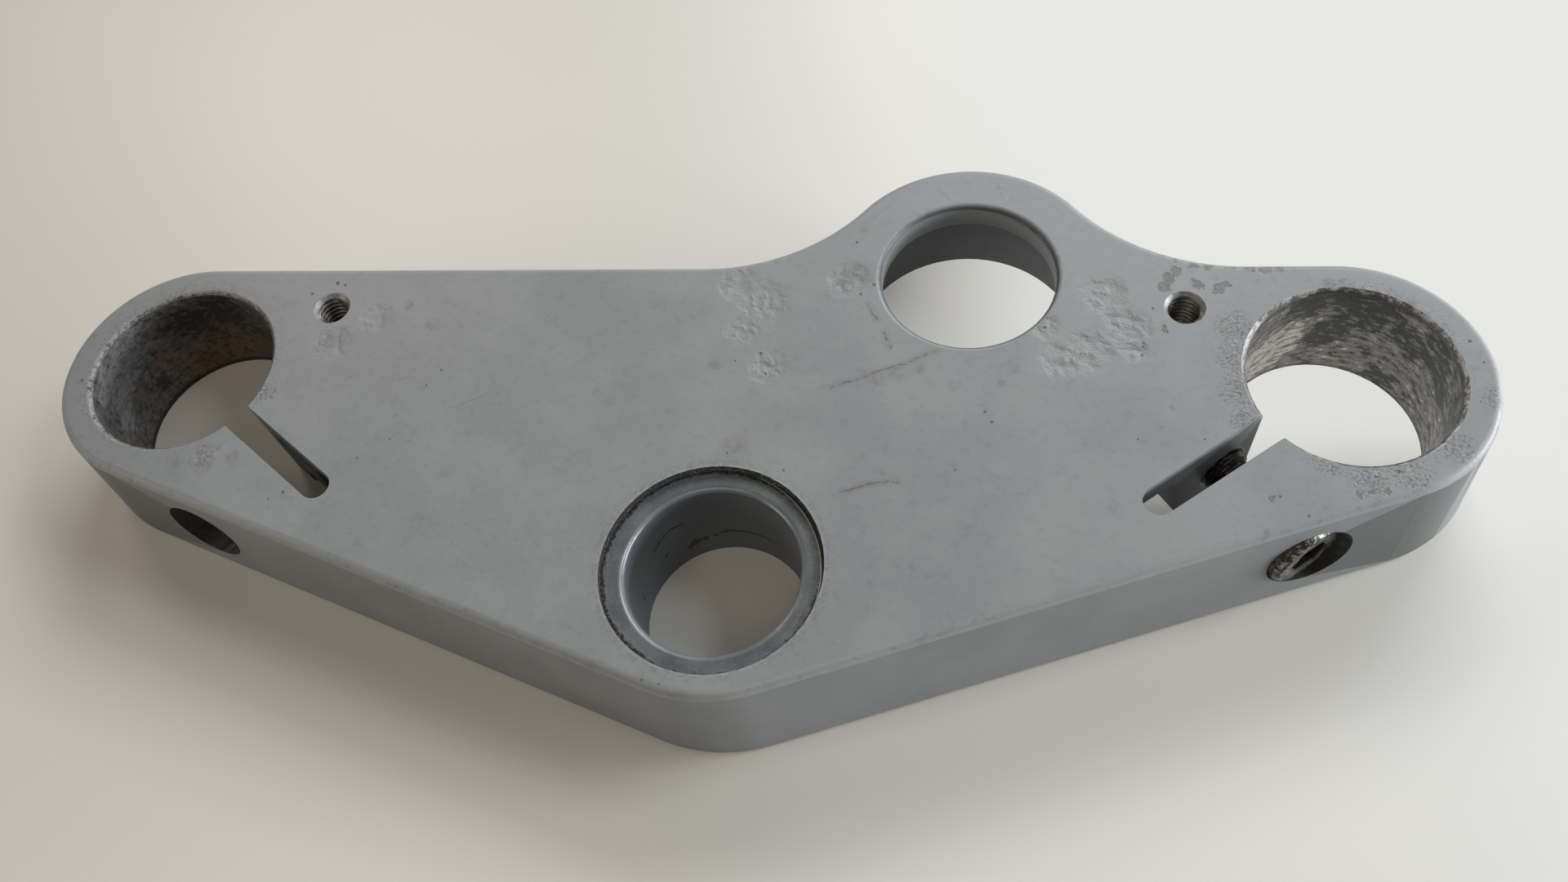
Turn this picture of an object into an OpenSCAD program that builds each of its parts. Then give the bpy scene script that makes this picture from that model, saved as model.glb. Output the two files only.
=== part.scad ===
// Upper triple clamp (top yoke) of a motorcycle: one casting that grips both fork legs, sits on
// the steering stem and carries the steering lock in a lobe on its forward edge.
// The origin is on the steering-stem axis, in the plane of the underside. +Z is up, +Y forward,
// and the fork legs stand to the left and right along X.

/* [Fork clamps] */
// Distance between the two fork-leg axes
fork_spacing = 200; // [185:1:215]
// Diameter of the fork-leg bores
fork_bore = 33; // [31:0.5:35]
// Wall around each fork leg at the top face
fork_wall = 5.7; // [5:0.1:8]
// Wall around each fork leg inside the hollow, at the underside
fork_boss_wall = 5.2; // [4.5:0.1:6]
// Distance of the fork legs ahead of the steering stem
stem_offset = 36.3; // [33:0.5:42]
// Chamfer at the upper mouth of each fork bore
fork_chamfer = 0.7; // [0.3:0.1:1.2]

/* [Body] */
// Height of the casting
height = 22; // [21:0.5:26]
// Thickness of the top web
web = 4.6; // [4:0.1:6]
// Thickness of the outer skirt at the underside
skirt = 5; // [4:0.25:6]
// Draft angle of the outer wall
outer_draft = 4.3; // [1:0.1:5]
// Draft angle of the inner walls and the bosses
inner_draft = 2; // [1:0.5:3]
// Rounding of the top edge
edge_round = 1.5; // [1:0.25:3]
// Rounding of the lower edge
foot_round = 1; // [0.5:0.1:1.5]
// Fillet between the web and the skirt inside
root_fillet = 2; // [1:0.25:3]

/* [Steering stem] */
// Diameter of the stem bore
stem_bore = 27.8; // [25:0.2:29]
// Wall behind the stem bore at the top face
stem_wall = 7.4; // [6.5:0.1:10]
// Radius of the outline's corner behind the stem
apex_round = 24.8; // [21.5:0.1:28]
// Wall of the stem boss on the underside
stem_boss_wall = 6.5; // [5:0.5:8]
// Diameter of the spot face for the stem nut
nut_seat = 35.4; // [33:0.2:37]
// Depth of the spot face
nut_seat_depth = 1.5; // [0.8:0.1:2.5]
// Rounding of the lip at the top of the stem bore
stem_lip = 1.2; // [0.6:0.1:1.6]

/* [Steering lock] */
// Distance of the lock to the right of the stem
lock_x = 39.3; // [34:0.1:44]
// Distance of the lock behind the forward edge
lock_inset = 2; // [0:0.2:5]
// Diameter of the lock hole
lock_hole = 30; // [27:0.5:32]
// Rim of the lobe around the lock hole at the top face
lock_rim = 9.1; // [8.5:0.1:11]
// Radius that blends the lobe into the forward edge
lobe_blend = 36; // [25:0.5:40]
// Rounding at the mouth of the lock hole
lock_edge = 1.1; // [0.5:0.1:1.6]

/* [Pinch joints] */
// Angle of each slot, turned back from the line across the fork legs
slot_angle = 36.5; // [35:0.5:38]
// Width of each slot
slot_width = 5; // [4:0.25:6]
// Length of each slot from the fork-leg axis to the middle of its round end
slot_reach = 39.35; // [37:0.5:42]
// Distance of the pinch bolt from the fork-leg axis
bolt_reach = 22.2; // [21.8:0.1:23]
// Height of the pinch bolt above the underside
bolt_z = 11; // [10.5:0.25:12]
// Distance from the middle of the slot to the seat of the bolt head
head_seat = 9.2; // [8:0.1:10]
// Play around the bolt's head in its counterbore, on the radius
head_play = 0.25; // [0.15:0.05:0.5]
// Play around the bolt's shank in its clearance hole, on the radius
shank_play = 0.5; // [0.2:0.05:0.7]
// Diameter of the threaded hole at its core
thread_core = 6.8; // [6.4:0.1:7]
// Distance from the middle of the slot to the far end of the threaded lug
lug_depth = 18; // [17:0.5:20]
// Reach of the lug beside the slot, where its fillet to the web begins
lug_reach = 32.6; // [31:0.2:34]
// Draft angle of the lug's end
lug_draft = 9; // [3:1:12]
// Height of the threaded lug's foot above the underside
thread_lug_foot = 5; // [2:0.5:5.5]
// Height of the counterbored lug's foot above the underside
head_lug_foot = 2; // [1:0.5:3.5]

/* [Pinch bolt] */
// Thread diameter of the pinch bolt
bolt_thread = 8; // [7.6:0.1:8.2]
// Length of the pinch bolt below its head
bolt_length = 25; // [22:0.5:26]
// Diameter of the head
head_width = 13; // [12.6:0.1:13]
// Height of the head
head_height = 8; // [7:0.25:8.5]
// Width of the hexagon socket across its flats
hex_width = 6; // [5:0.5:7]
// Depth of the hexagon socket
hex_depth = 4; // [3:0.25:5]
// Clearance between the bolt's core and the threaded hole, on the radius
core_gap = 0.05; // [0.03:0.01:0.1]

/* [Gauge mounts] */
// Distance of the threaded holes for the gauge bracket from the fork-leg axes, toward the middle
gauge_shift = 25; // [24:0.5:29]
// Distance of these holes behind the forward edge
gauge_inset = 9.2; // [9:0.1:11]
// Diameter of the threaded holes at their core
gauge_core = 5.1; // [4.2:0.1:6]
// Diameter of the countersink at their mouths
gauge_sink = 6.8; // [6.4:0.1:8]
// Diameter of the bosses under them
gauge_boss = 14; // [12:0.5:16]
// Height of the bosses' feet above the underside
gauge_foot = 6; // [3:0.5:9]

/* [Ribs] */
// Thickness of the ribs at their foot
rib_foot = 3.6; // [3:0.2:5]
// Thickness of the ribs at the web
rib_root = 4.4; // [4.4:0.2:6]
// Height of the ribs below the web
rib_height = 6; // [4:0.5:8]

/* [Hidden] */

// Number of sides that the true circles are drawn with
$fn = 96;
// Length of one facet along the outline, on the outer wall and inside the skirt
outer_facet = 1.6;
inner_facet = 2.4;
// Steps of the rounded top edge, of the rounded lower edge and of the fillet inside
edge_steps = 6;
foot_steps = 3;
root_steps = 3;
// Points of the outline nearer than this are one point
same_point = 0.01;
// Overshoot of the cutting shapes
over = 1;
// Chamfers of the bolt
head_chamfer = 0.6;
shank_chamfer = 1;

fork_r = fork_bore / 2;
boss_r = fork_r + fork_wall;
lobe_r = lock_hole / 2 + lock_rim;
counterbore_r = head_width / 2 + head_play;
clearance_r = bolt_thread / 2 + shank_play;
web_z = height - web;
seat_z = height - nut_seat_depth;

left_fork = [-fork_spacing / 2, stem_offset];
right_fork = [fork_spacing / 2, stem_offset];
apex = [0, apex_round - stem_bore / 2 - stem_wall];
front_y = stem_offset + boss_r;
lock = [lock_x, front_y - lock_inset];
gauge_x = fork_spacing / 2 - gauge_shift;
gauge_y = front_y - gauge_inset;

// The fillets at both sides of the lobe touch the forward edge and the lobe
blend_y = front_y + lobe_blend;
blend_x = sqrt(pow(lobe_r + lobe_blend, 2) - pow(blend_y - lock[1], 2));
blend_angle = atan2(blend_y - lock[1], blend_x);

// Direction of the outward normal on the straight wall that runs from circle 1 to circle 2
function tangent(c1, r1, c2, r2) =
    atan2(c2[1] - c1[1], c2[0] - c1[0]) - acos((r1 - r2) / norm(c2 - c1));

left_wall = tangent(left_fork, boss_r, apex, apex_round);
right_wall = tangent(apex, apex_round, right_fork, boss_r);

// The outline, anticlockwise from the middle of the rear corner: centre, radius, first angle, last
// angle, and 1 if it bulges outward or -1 if it is hollow. Straight walls join one arc to the next.
arcs = [
    [apex, apex_round, -90, right_wall, 1],
    [right_fork, boss_r, right_wall, 90, 1],
    [[lock[0] + blend_x, blend_y], lobe_blend, 270, blend_angle + 180, -1],
    [lock, lobe_r, blend_angle, 180 - blend_angle, 1],
    [[lock[0] - blend_x, blend_y], lobe_blend, 360 - blend_angle, 270, -1],
    [left_fork, boss_r, 90, left_wall + 360, 1],
    [apex, apex_round, left_wall, -90, 1]
];

// Points of one arc, moved outward by grow
function arc_points(arc, grow, facet) =
    let (r = arc[1] + arc[4] * grow,
         steps = ceil(abs(arc[3] - arc[2]) * PI / 180 * arc[1] / facet))
    [for (i = [0:steps])
        let (a = arc[2] + (arc[3] - arc[2]) * i / steps)
        arc[0] + r * [cos(a), sin(a)]];

// The whole outline. A point that two arcs share is kept once.
function outline(grow, facet) =
    let (all = [for (arc = arcs) each arc_points(arc, grow, facet)])
    [for (i = [0:len(all) - 1])
        if (norm(all[i] - all[(i + 1) % len(all)]) > same_point) all[i]];

// A solid that follows the outline through levels of [height, growth], from the bottom up. Its
// first point sees the whole outline, so the floor and the roof are fans of triangles from there.
module outline_loft(levels, facet) {
    rings = [for (level = levels) [for (p = outline(level[1], facet)) [p[0], p[1], level[0]]]];
    count = len(rings[0]);
    last = len(levels) - 1;
    sides = [for (k = [0:last - 1]) for (i = [0:count - 1])
        let (j = (i + 1) % count)
        [k * count + i, (k + 1) * count + i, (k + 1) * count + j, k * count + j]];
    floor_face = [for (i = [0:count - 1]) i];
    roof_face = [for (i = [0:count - 1]) last * count + (count - i) % count];
    polyhedron(points = [for (ring = rings) each ring], faces = concat([floor_face], sides, [roof_face]),
        convexity = 8);
}

// The drafted outer wall runs smoothly into the rounded lower edge and the rounded top edge.
// Each rounding is an arc from the wall's own direction to the flat face.
module outer_form() {
    foot_in = height * tan(outer_draft) - foot_round * (1 + sin(outer_draft)) / cos(outer_draft);
    top_in = edge_round * (sin(outer_draft) - 1) / cos(outer_draft);
    foot = [for (i = [0:foot_steps])
        let (a = -90 + (90 + outer_draft) * i / foot_steps)
        [foot_round * (1 + sin(a)), foot_in + foot_round * cos(a)]];
    top = [for (i = [0:edge_steps])
        let (a = outer_draft + (90 - outer_draft) * i / edge_steps)
        [height - edge_round * (1 - sin(a)), top_in + edge_round * cos(a)]];
    outline_loft(concat(foot, top), outer_facet);
}

// The hollow inside the skirt, open at the underside, with a fillet below the web
module inner_form() {
    foot = height * tan(outer_draft) - skirt;
    function inset(z) = foot - z * tan(inner_draft);
    fillet_z = web_z - root_fillet;
    fillet = [for (i = [0:root_steps])
        let (a = 90 * i / root_steps)
        [fillet_z + root_fillet * sin(a), inset(fillet_z) - root_fillet * (1 - cos(a))]];
    outline_loft(concat([[-over, inset(-over)]], fillet), inner_facet);
}

// Places its children in the frame of a fork clamp: X along the slot from the fork-leg axis,
// -Y toward the head of the pinch bolt. Side -1 is the left, side 1 the right.
module at_clamp(side) {
    mirror([side + 1, 0, 0])
        translate([left_fork[0], left_fork[1], 0])
            rotate([0, 0, -slot_angle])
                children();
}

// Places its children on the pinch-bolt axis of a clamp, at the middle of the slot, with +Z
// toward the head
module at_bolt() {
    translate([bolt_reach, 0, bolt_z])
        rotate([90, 0, 0])
            children();
}

// One half of the lug beside a slot, from y0 to y1, hanging from the web down to its foot, with
// a fillet where its end meets the web
module lug(y0, y1, foot_z) {
    fillet_z = web_z - root_fillet;
    foot_reach = lug_reach - (fillet_z - foot_z) * tan(lug_draft);
    fillet = [for (i = [0:root_steps])
        let (a = 90 * i / root_steps)
        [lug_reach + root_fillet * (1 - cos(a)), fillet_z + root_fillet * sin(a)]];
    translate([0, y1, 0])
        rotate([90, 0, 0])
            linear_extrude(y1 - y0)
                polygon(concat([[0, foot_z], [foot_reach, foot_z]], fillet,
                    [[lug_reach + root_fillet, web_z + over], [0, web_z + over]]));
}

// A rib under the web, from the stem to a point in plan
module rib(to) {
    foot_z = web_z - rib_height;
    rotate([0, 0, atan2(to[1], to[0])])
        rotate([90, 0, 90])
            linear_extrude(norm(to))
                polygon([[-rib_foot / 2, foot_z], [rib_foot / 2, foot_z],
                    [rib_root / 2, web_z + over], [-rib_root / 2, web_z + over]]);
}

// A round boss that hangs from the web down to its foot and grows toward the web by its draft
module boss(foot_r, foot_z) {
    reach = web_z + over - foot_z;
    translate([0, 0, foot_z])
        cylinder(r1 = foot_r, r2 = foot_r + reach * tan(inner_draft), h = reach);
}

// Everything that stays standing inside the hollow
module inner_bosses() {
    boss(stem_bore / 2 + stem_boss_wall, -over);
    for (side = [-1, 1]) {
        translate([side * fork_spacing / 2, stem_offset, 0])
            boss(fork_r + fork_boss_wall, -over);
        translate([side * gauge_x, gauge_y, 0])
            boss(gauge_boss / 2, gauge_foot);
        rib([side * fork_spacing / 2, stem_offset]);
        at_clamp(side) {
            lug(0, lug_depth, thread_lug_foot);
            lug(-boss_r, 0, head_lug_foot);
        }
    }
}

// A round hole of radius r right through, with a chamfer at its upper mouth
module chamfered_hole(r, chamfer) {
    translate([0, 0, -over])
        cylinder(r = r, h = height + 2 * over);
    translate([0, 0, height - chamfer])
        cylinder(r1 = r, r2 = r + chamfer + over, h = chamfer + over);
}

// The slot that lets the clamp close, with a round end
module slot_cut() {
    translate([0, -slot_width / 2, -over])
        cube([slot_reach, slot_width, height + 2 * over]);
    translate([slot_reach, 0, -over])
        cylinder(r = slot_width / 2, h = height + 2 * over);
}

// Counterbore, clearance hole and threaded hole of a pinch bolt
module bolt_cut() {
    translate([0, 0, head_seat])
        cylinder(r = counterbore_r, h = boss_r);
    cylinder(r = clearance_r, h = head_seat + over);
    translate([0, 0, -lug_depth - over])
        cylinder(r = thread_core / 2, h = lug_depth + over);
}

// A hole of radius r down from a face at height z, whose mouth is rounded by lip
module rounded_hole(r, z, lip, depth) {
    translate([0, 0, z])
        rotate_extrude()
            difference() {
                translate([0, -depth])
                    square([r + lip, depth + over]);
                translate([r, -depth - over])
                    square([lip + over, depth + over - lip]);
                translate([r + lip, -lip])
                    circle(r = lip);
            }
}

module stem_cut() {
    rounded_hole(stem_bore / 2, seat_z, stem_lip, height + over);
    translate([0, 0, seat_z])
        cylinder(r = nut_seat / 2, h = nut_seat_depth + over);
}

module lock_cut() {
    translate([lock[0], lock[1], 0])
        rounded_hole(lock_hole / 2, height, lock_edge, web + over);
}

module yoke() {
    color([0.56, 0.57, 0.58])
        difference() {
            outer_form();
            difference() {
                inner_form();
                inner_bosses();
            }
            for (side = [-1, 1]) {
                translate([side * fork_spacing / 2, stem_offset, 0])
                    chamfered_hole(fork_r, fork_chamfer);
                translate([side * gauge_x, gauge_y, 0])
                    chamfered_hole(gauge_core / 2, (gauge_sink - gauge_core) / 2);
                at_clamp(side) {
                    slot_cut();
                    at_bolt()
                        bolt_cut();
                }
            }
            stem_cut();
            lock_cut();
        }
}

// Socket-head cap screw. Its thread is drawn by its core beyond the slot and by its full
// diameter on the head side.
module right_pinch_bolt() {
    core_r = thread_core / 2 - core_gap;
    head_r = head_width / 2;
    tip_z = head_seat - bolt_length;
    color([0.30, 0.30, 0.30])
        at_clamp(1)
            at_bolt()
                difference() {
                    union() {
                        translate([0, 0, head_seat])
                            cylinder(r = head_r, h = head_height - head_chamfer);
                        translate([0, 0, head_seat + head_height - head_chamfer])
                            cylinder(r1 = head_r, r2 = head_r - head_chamfer, h = head_chamfer);
                        translate([0, 0, -slot_width / 2])
                            cylinder(r = bolt_thread / 2, h = slot_width / 2 + head_seat);
                        translate([0, 0, tip_z + shank_chamfer])
                            cylinder(r = core_r, h = -tip_z - shank_chamfer);
                        translate([0, 0, tip_z])
                            cylinder(r1 = core_r - shank_chamfer, r2 = core_r, h = shank_chamfer);
                    }
                    translate([0, 0, head_seat + head_height - hex_depth])
                        rotate([0, 0, 30])
                            cylinder(r = hex_width / 2 / cos(30), h = hex_depth + over, $fn = 6);
                }
}

yoke();
right_pinch_bolt();
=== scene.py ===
import math

import bmesh
import bpy
import numpy as np
from mathutils import Matrix, Vector


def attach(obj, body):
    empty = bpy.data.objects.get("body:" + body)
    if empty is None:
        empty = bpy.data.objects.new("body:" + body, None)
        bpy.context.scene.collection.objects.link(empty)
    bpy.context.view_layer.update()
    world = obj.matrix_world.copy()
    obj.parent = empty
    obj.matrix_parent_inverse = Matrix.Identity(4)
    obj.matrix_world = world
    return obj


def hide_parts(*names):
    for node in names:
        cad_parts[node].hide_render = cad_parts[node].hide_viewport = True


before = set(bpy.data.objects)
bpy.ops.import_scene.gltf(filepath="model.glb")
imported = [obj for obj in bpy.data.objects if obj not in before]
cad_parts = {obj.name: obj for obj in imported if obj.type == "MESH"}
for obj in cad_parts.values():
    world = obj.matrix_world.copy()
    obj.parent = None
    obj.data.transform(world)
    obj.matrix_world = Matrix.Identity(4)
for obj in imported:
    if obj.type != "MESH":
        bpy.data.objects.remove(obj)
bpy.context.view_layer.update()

# Lengths are written in millimetres and reach Blender's metres through this
MM = 0.001

# The casting in its own frame, in mm: its fork bores, top, stem bore with the seat round it, lock hole,
# web, and gauge threads with their foot
FORKS = {-1: (-100.0, 36.3), 1: (100.0, 36.3)}
FORK_R = 16.5
TOP = 22.0
STEM_R = 13.9
SEAT_R = 17.7
LOCK = (39.3, 56.5)
LOCK_R = 15.0
WEB_Z = 17.4
GAUGE_THREADS = {-1: (-75.0, 49.3), 1: (75.0, 49.3)}
GAUGE_FOOT = 6.0
# Each pinch joint: its slot's turn from the x axis, the bolt's place out from the fork's axis and up,
# the slot's half width, the far lug's depth, and the counterbore's floor and radius
SLOT_TURN = math.radians(36.5)
BOLT_REACH = 22.2
BOLT_Z = 11.0
SLOT_SIDE = 2.5
LUG_DEPTH = 18.0
HEAD_SEAT = 9.2
HEAD_HOLE_R = 6.75
# Facets round a hole, and the radii to which the gauge and pinch holes are bored out for their threads
HOLE_SIDES = 72
GAUGE_BORED_R = 3.5
PINCH_BORED_R = 4.7


def linear(colour):
    """An sRGB hex colour as linear RGBA."""
    parts = [int(colour[i:i + 2], 16) / 255 for i in (1, 3, 5)]
    return tuple(c / 12.92 if c <= 0.04045 else ((c + 0.055) / 1.055) ** 2.4 for c in parts) + (1.0,)


# Nodes that come again and again: their kind, their settings, and their output where it isn't the first
TIMES = {"kind": "Math", "operation": "MULTIPLY"}
TIMES_PLUS = {"kind": "Math", "operation": "MULTIPLY_ADD"}
LESS = {"kind": "Math", "operation": "SUBTRACT"}
LARGER = {"kind": "Math", "operation": "MAXIMUM"}
BLEND = {"kind": "Mix", "data_type": "RGBA", "out": 2}
# A value's smooth passage between two levels, from 0 up to 1, or from 1 down to 0 where these are given too
STEP = {"kind": "MapRange", "interpolation_type": "SMOOTHSTEP"}


def add(tree, inputs, kind, out=0, **settings):
    """Adds a shader node with its settings, and gives its output out, or all of them for None. Inputs go
    by place or by name: a socket is linked, and anything else is set."""
    made = tree.nodes.new("ShaderNode" + kind)
    for key, value in settings.items():
        setattr(made, key, value)
    for key, value in inputs.items() if isinstance(inputs, dict) else enumerate(inputs):
        if isinstance(value, bpy.types.NodeSocket):
            tree.links.new(value, made.inputs[key])
        else:
            made.inputs[key].default_value = value
    return made.outputs if out is None else made.outputs[out]


def laid_over(tree, colour, share, strength, shade):
    """The colour with a shade laid over it, as strongly as the share times the strength."""
    return add(tree, {0: add(tree, (share, strength), **TIMES), 6: colour, 7: linear(shade)}, **BLEND)


def drawn_noise(tree, place, grain, detail, roughness, stretch, out=0):
    """Noise whose lumps are about grain mm across, times the stretch along each axis."""
    place = add(tree, (place, tuple(1 / s for s in stretch)), "VectorMath", operation="MULTIPLY")
    return add(tree, {"Vector": place, "Scale": 1 / grain, "Detail": detail, "Roughness": roughness},
               "TexNoise", out=out)


def place_in_mm(tree):
    """Object coordinates in millimetres."""
    where = add(tree, (), "TexCoord", out="Object")
    return add(tree, {0: where, "Scale": 1 / MM}, "VectorMath", operation="SCALE")


def from_axis(tree, place, centre):
    """Distance in plan from an upright axis."""
    flat = add(tree, (place, (1.0, 1.0, 0.0)), "VectorMath", operation="MULTIPLY")
    return add(tree, (flat, (*centre, 0.0)), "VectorMath", operation="DISTANCE", out="Value")


def spots(tree, place, places):
    """The largest of 1 - distance / radius over spots (x, y, z, radius): 1 at a middle, 0 at a rim."""
    total = None
    for x, y, z, radius in places:
        away = add(tree, (place, (x, y, z)), "VectorMath", operation="DISTANCE", out="Value")
        value = add(tree, (away, -1 / radius, 1.0), **TIMES_PLUS)
        total = value if total is None else add(tree, (total, value), **LARGER)
    return add(tree, (total, 0.0), **LARGER)


def strokes(tree, place, paths, width):
    """1 on the middle of broken lines through (x, y) points on the top face, 0 at half a width away."""
    total = None
    for path in paths:
        for (x0, y0), (x1, y1) in zip(path, path[1:]):
            run = (x1 - x0, y1 - y0, 0.0)
            squared = run[0] ** 2 + run[1] ** 2
            away = add(tree, (place, (x0, y0, 0.0)), "VectorMath", operation="SUBTRACT")
            along = add(tree, (away, tuple(c / squared for c in run)), "VectorMath",
                        operation="DOT_PRODUCT", out="Value")
            along = add(tree, (along, 1.0), **TIMES, use_clamp=True)
            foot = add(tree, {0: run, "Scale": along}, "VectorMath", operation="SCALE")
            gap = add(tree, (away, foot), "VectorMath", operation="DISTANCE", out="Value")
            value = add(tree, (gap, -2 / width, 1.0), **TIMES_PLUS)
            total = value if total is None else add(tree, (total, value), **LARGER)
    return add(tree, (total, 0.0), **LARGER)


def new_material(name, **constants):
    """A material with its Principled shader, whose plain numbers are set on the shader's own sockets."""
    material = bpy.data.materials.new(name)
    material.use_nodes = True
    tree = material.node_tree
    shader = tree.nodes["Principled BSDF"]
    for key, value in constants.items():
        shader.inputs[key.replace("_", " ").title().replace("Ior", "IOR")].default_value = value
    return material, tree, shader


def feed(tree, shader, **sockets):
    """Links results into the shader's inputs."""
    for key, socket in sockets.items():
        tree.links.new(socket, shader.inputs[key.replace("_", " ").title()])


# Wear on the top face, read off the part: x, y, z and radius in mm
STAINS = [(-55.1, 45.7, 22, 1.9), (-60.2, 50.2, 22, 1.4), (20.8, 66.6, 22, 1.7), (20.6, 56.8, 22, 3.4),
          (17.6, 53.8, 22, 2.6), (27.8, 35.8, 22, 2.0), (31.2, 37.0, 22, 2.0), (24.5, 34.6, 22, 1.9),
          (-2.8, 37.3, 22, 1.7), (44.9, 33.9, 22, 1.5), (46.6, 37.3, 22, 2.0), (1.8, 21.7, 22, 3.2),
          (71.7, 29.8, 22, 0.8), (98.5, 54.0, 22, 1.9), (101.0, 54.3, 22, 1.5), (108.0, 51.9, 22, 1.6),
          (111.0, 50.2, 22, 1.3), (115.5, 45.2, 22, 1.1), (-2.2, -21.0, 22, 1.4), (10.5, -19.7, 22, 0.9),
          (-89.1, 16.3, 22, 2.4), (-94.9, 16.8, 22, 2.4), (-84.5, 18.0, 22, 1.8), (-74.0, 41.6, 22, 2.8),
          (-118.4, 33.0, 22, 1.0), (37.2, 33.8, 22, 1.6)]
BARE = [(72.6, 55.4, 22, 1.3), (74.0, 57.0, 22, 1.2), (71.9, 53.6, 22, 1.2), (77.3, 54.0, 22, 1.3),
        (80.6, 52.8, 22, 1.4), (81.8, 54.0, 22, 0.9), (77.1, 58.2, 22, 1.2), (79.6, 58.0, 22, 1.0),
        (83.5, 57.9, 21.6, 0.9), (86.1, 57.6, 21.8, 1.3), (88.6, 57.2, 22, 1.3), (90.8, 57.5, 21.8, 0.9),
        (71.2, 45.1, 22, 0.8), (85.0, 13.6, 22, 0.7), (97.6, 14.4, 22, 0.8), (99.8, 14.7, 22, 0.8),
        (101.8, 15.1, 22, 0.7), (74.2, 59.2, 21.4, 0.8), (-0.7, -21.8, 21.6, 0.8), (1.6, -23.2, 20.6, 0.7),
        (10.5, -19.7, 22, 0.9)]
PITS = [(118.4, 42.6, 22, 0.45), (119.8, 38.6, 22, 0.3), (-51.4, 36.0, 22, 0.3), (-53.4, 32.8, 22, 0.25),
        (-57.4, 21.9, 22, 0.25), (-62.3, 18.2, 22, 0.3), (-73.6, 11.4, 22, 0.4), (-75.8, 10.1, 22, 0.25),
        (67.8, 42.1, 22, 0.3), (67.4, 39.7, 22, 0.3), (76.0, 23.8, 22, 0.25), (65.8, 23.7, 22, 0.25),
        (4.4, 39.7, 22, 0.4), (5.6, 35.6, 22, 0.35), (0.2, 38.2, 22, 0.25), (10.1, 17.1, 22, 0.3),
        (0.6, 20.2, 22, 0.25), (-8.4, -18.9, 22, 0.35), (-5.7, -19.4, 22, 0.25), (-2.1, -21.0, 22, 0.35),
        (86.2, 13.9, 22, 0.3), (90.0, 10.7, 22, 0.3), (101.0, 12.2, 22, 0.3), (107.4, 16.2, 22, 0.35),
        (42.0, 28.5, 22, 0.35), (43.1, 26.6, 22, 0.35), (19.6, 63.6, 22, 0.35), (23.0, 54.2, 22, 0.4),
        (67.6, 41.3, 22, 0.3), (51.9, 45.2, 22, 0.4), (69.7, 49.1, 22, 0.3), (-75.4, 54.9, 22, 0.5),
        (-73.8, 54.5, 22, 0.35), (-79.7, 52.5, 22, 0.4), (-118.2, 33.3, 22, 0.4), (37.4, 17.7, 22, 0.25),
        (-8.0, 15.3, 22, 0.25), (20.8, 52.2, 22, 0.35), (104.0, 18.6, 22, 0.45), (100.5, 17.6, 22, 0.35)]
BLISTERS = [(-0.7, 54.6, 22, 4.5), (4.0, 50.5, 22, 5.5), (5.9, 37.2, 22, 4.0), (61.7, 52.1, 22, 5.0),
            (65.3, 45.4, 22, 5.0), (58.5, 40.5, 22, 5.0), (54.5, 38.8, 22, 4.4), (52.0, 45.4, 22, 3.0),
            (-66.1, 47.0, 22, 3.8), (-73.2, 41.6, 22, 4.2), (18.6, 55.2, 22, 4.4), (66.4, 40.5, 22, 2.6),
            (1.0, 44.5, 22, 3.6)]
CORRODED = [(82.3, 45.4, 22, 4.6), (82.4, 39.4, 22, 5.0), (82.2, 33.0, 22, 4.6), (82.0, 27.5, 22, 3.0),
            (99.9, 17.2, 22, 5.0), (106.0, 18.2, 22, 4.6), (113.5, 22.6, 22, 4.0), (94.0, 19.5, 22, 3.0),
            (120.0, 32.0, 22, 3.0), (-82.6, 31.0, 22, 3.2), (-90.0, 18.2, 22, 3.6)]
SIDE_PITS = [(29.5, -10.6, 19.8, 0.5), (35.0, -9.0, 19.0, 0.4), (38.0, -8.2, 20.4, 0.4),
             (54.0, -2.6, 18.6, 0.4), (12.0, -17.0, 18.0, 0.4), (-82.0, 4.3, 6.5, 0.6)]
CRACKS = [[(16.9, 33.2), (21.0, 34.6), (25.1, 36.6), (28.6, 37.6), (31.6, 39.4), (34.2, 40.4)],
          [(22.1, 50.1), (23.9, 46.7)], [(25.2, 44.1), (25.6, 42.6), (26.2, 41.1)],
          [(19.6, 13.4), (24.0, 15.0), (28.5, 15.4)]]
SCRATCHES = [[(-59.8, 35.3), (-59.5, 33.7), (-55.6, 34.6)], [(33.5, 75.9), (35.7, 73.5)],
             [(44.1, 77.1), (45.4, 73.4)], [(-48.6, 27.8), (-41.7, 31.5)],
             [(-8.0, -20.6), (-3.4, -21.4), (0.2, -21.6)]]
RUST = [(76.9, 54.2, 22, 1.3), (71.2, 45.0, 22, 0.9), (98.5, 54.4, 22, 1.6), (73.2, 56.2, 22, 1.0)]

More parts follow.
